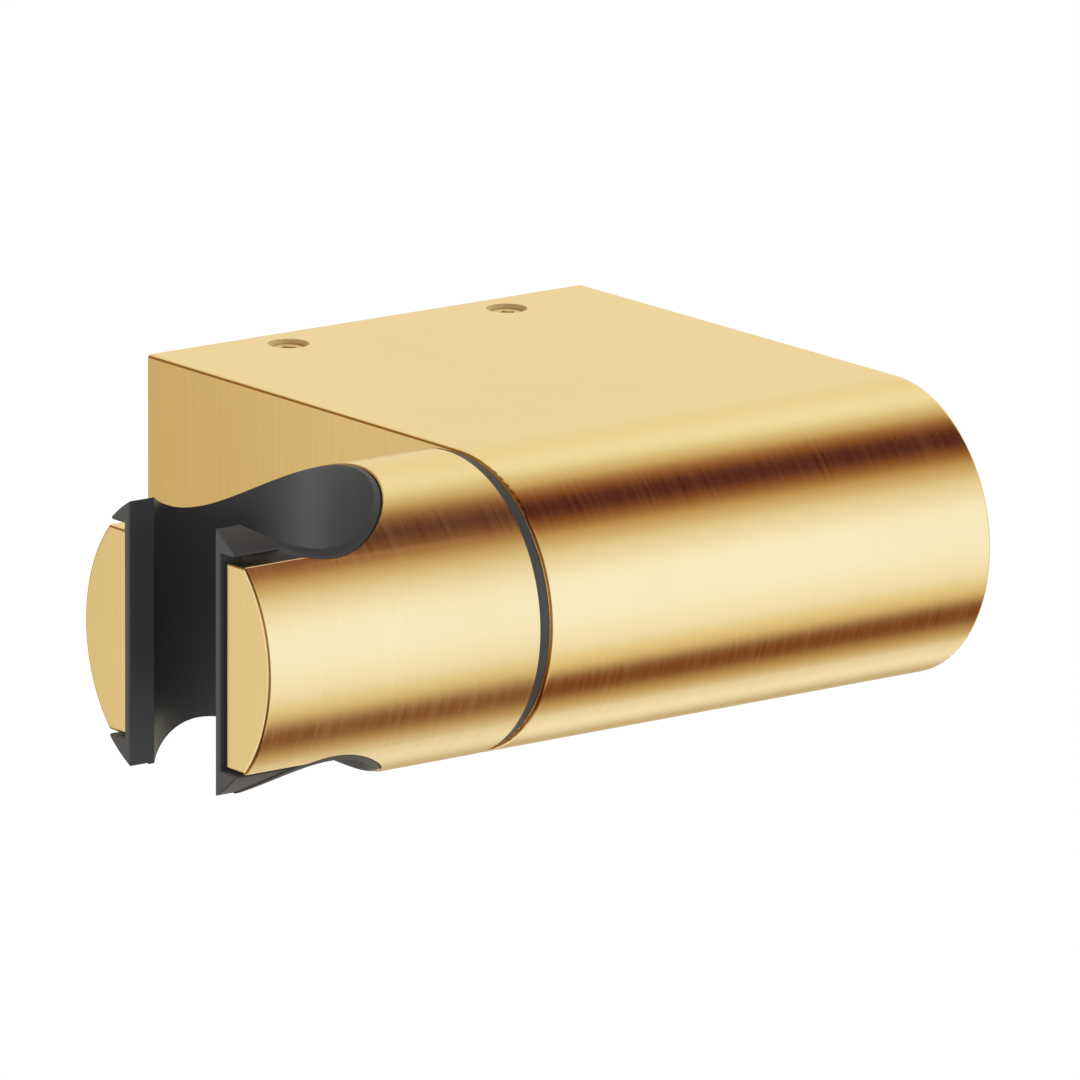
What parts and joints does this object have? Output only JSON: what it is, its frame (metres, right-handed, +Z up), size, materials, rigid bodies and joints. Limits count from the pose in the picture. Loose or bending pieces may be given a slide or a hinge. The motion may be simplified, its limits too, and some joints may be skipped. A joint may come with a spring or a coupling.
{
  "type": "hand shower holder",
  "caption": "Wall holder for a hand shower: D-shaped brass body with a round friction-held swivel head, whose lined upright bore is open to the side for the hose.",
  "frame": {"origin": "middle of the body's wall face, on the centre line of the body's height", "axes": "+Y into the wall, +Z up, X along the wall with the swivel head at the -X end"},
  "size_m": [0.1036, 0.077, 0.035],
  "materials": {
    "gold_brass": "brushed, gold-coloured",
    "dark_plastic": "satin, moulded",
    "screw_steel": "turned",
    "plate_steel": "rolled sheet",
    "spring_steel": "hardened",
    "bush_plastic": "natural acetal or nylon",
    "black_rubber": "moulded"
  },
  "bodies": {
    "wall_body": {"housing": "gold_brass", "wall_plate": "plate_steel", "set_screw_left": "gold_brass", "set_screw_right": "gold_brass", "friction_disc": "dark_plastic", "pivot_screw": "screw_steel", "thrust_washer": "plate_steel", "disc_spring_1": "spring_steel", "disc_spring_2": "spring_steel", "disc_spring_3": "spring_steel", "disc_spring_4": "spring_steel", "lock_washer": "spring_steel", "lock_nut": "plate_steel", "nut_insert": "bush_plastic"},
    "head": {"head_shell": "gold_brass", "cradle_insert": "dark_plastic", "pivot_bush": "bush_plastic", "brake_ring": "black_rubber"}
  },
  "joints": [
    {"name": "head_swivel", "type": "hinge", "parent": "wall_body", "child": "head", "pos_m": [-0.0319, -0.0595, 0], "axis": [1, 0, 0], "continuous": true}
  ]
}
